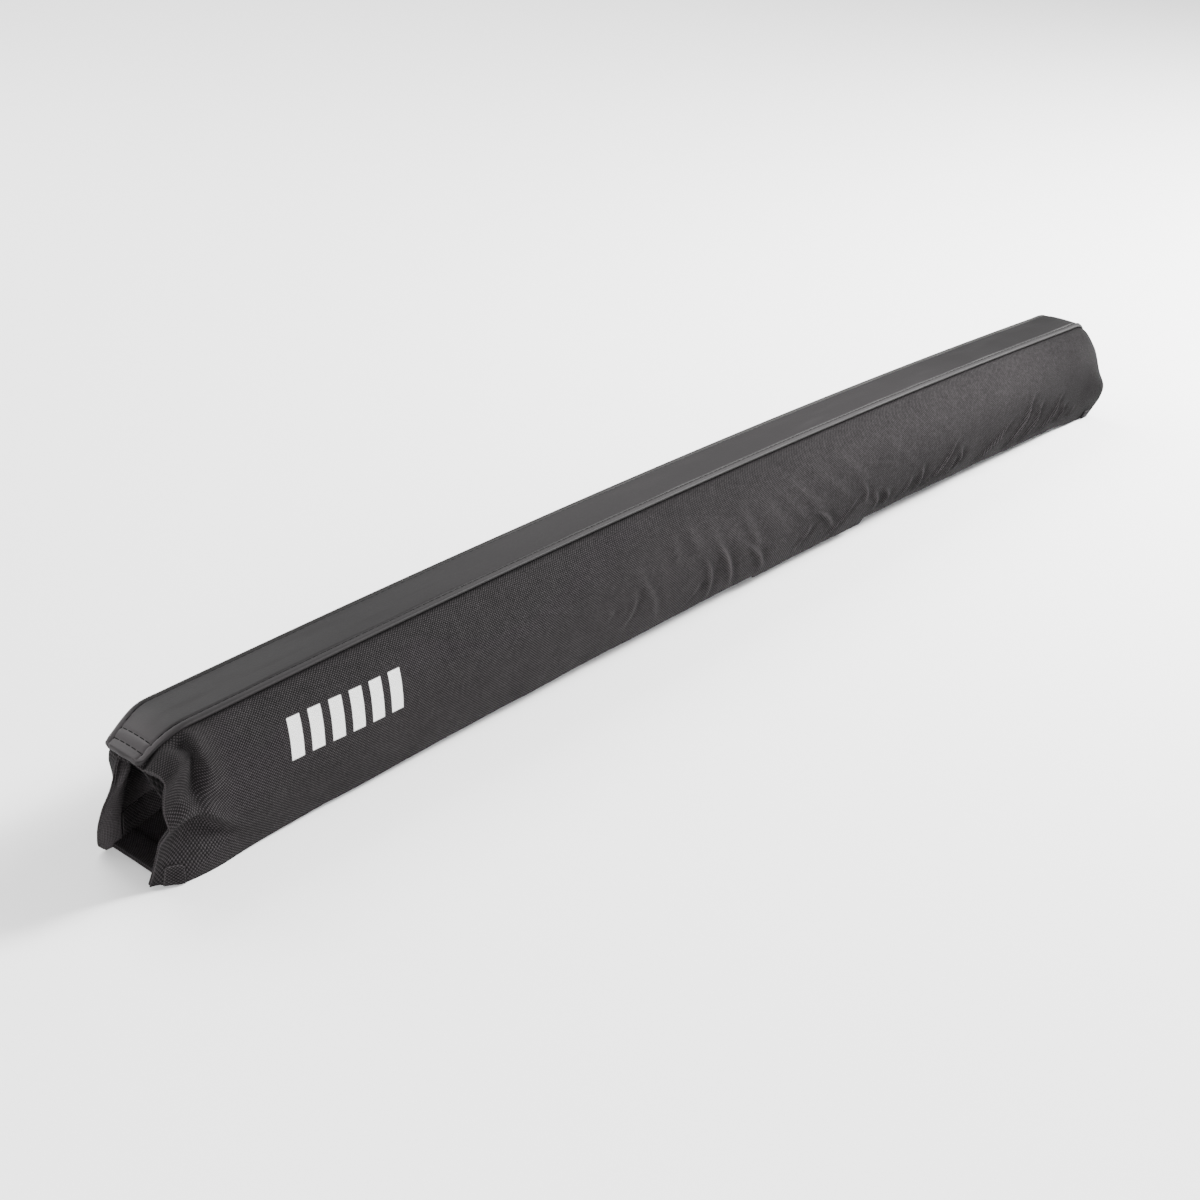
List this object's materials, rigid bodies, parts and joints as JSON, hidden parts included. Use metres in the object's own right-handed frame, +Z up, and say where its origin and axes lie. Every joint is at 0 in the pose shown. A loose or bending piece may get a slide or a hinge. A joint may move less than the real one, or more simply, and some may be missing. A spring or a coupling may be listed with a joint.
{
  "type": "roof rack pad",
  "caption": "Long padded sleeve that wraps a roof crossbar, with a smooth wear strip on top and open ends.",
  "frame": {"origin": "centre of the pad's length and width, on the surface it stands on", "axes": "+X runs along the crossbar, towards the mouth that is farther off in the picture; +Y is the back wall; +Z is up, towards the wear strip"},
  "size_m": [0.7673, 0.0668, 0.0715],
  "materials": {
    "coated_strip": "smooth dark grey coated cloth, low satin sheen",
    "woven_shell": "coarse black basket weave, dull",
    "woven_base": "coarse black basket weave, dull",
    "lining_cloth": "fine black plain weave, dull",
    "foam": "dark grey closed-cell foam, matte",
    "closure_tape": "black hook and loop tape, matte"
  },
  "bodies": {
    "root": {"wear_strip": "coated_strip", "front_panel": "woven_shell", "back_panel": "woven_shell", "base_panel": "woven_base", "closure_flap": "woven_base", "foam_lining": "lining_cloth", "foam_core": "foam", "hook_tape": "closure_tape", "loop_tape": "closure_tape"}
  },
  "joints": []
}
